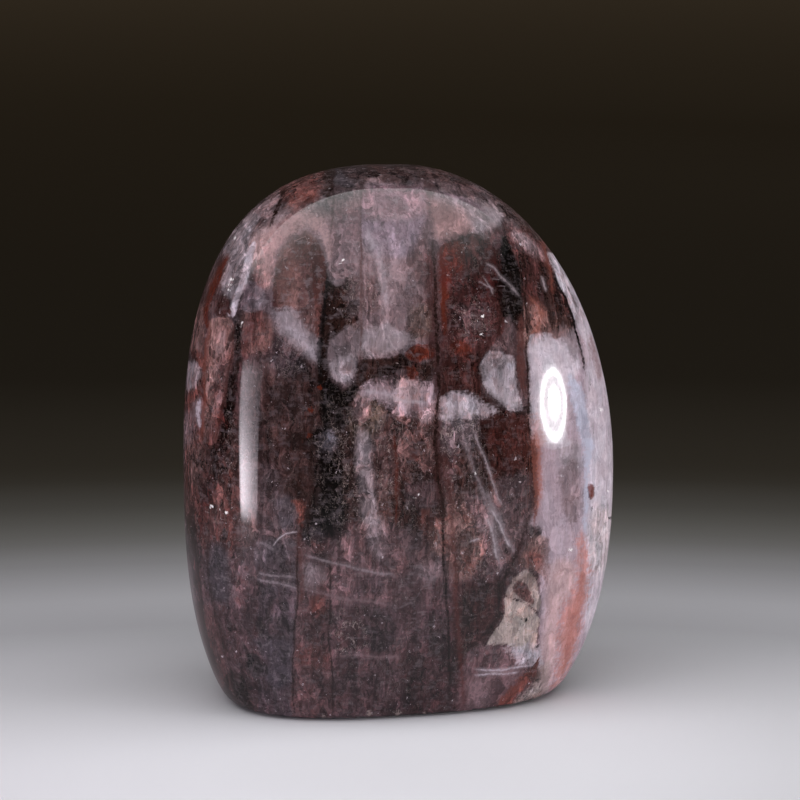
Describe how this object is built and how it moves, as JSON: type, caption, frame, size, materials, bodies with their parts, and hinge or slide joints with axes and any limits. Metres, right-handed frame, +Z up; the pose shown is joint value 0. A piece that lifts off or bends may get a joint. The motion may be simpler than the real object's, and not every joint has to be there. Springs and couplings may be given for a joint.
{
  "type": "polished quartz freeform",
  "caption": "Upright domed stone of polished, dark plum quartz with veins and milky patches, standing on a sawn flat base.",
  "frame": {"origin": "middle of the sawn base, on the surface that the stone stands on", "axes": "+Z up to the dome, -Y is the broad front face, +X is the right-hand side seen from the front"},
  "size_m": [0.0789, 0.0475, 0.098],
  "materials": {
    "quartz": "high polish, with red-brown veins and milky lilac patches in dark plum quartz"
  },
  "bodies": {
    "root": {"stone": "quartz"}
  },
  "joints": []
}
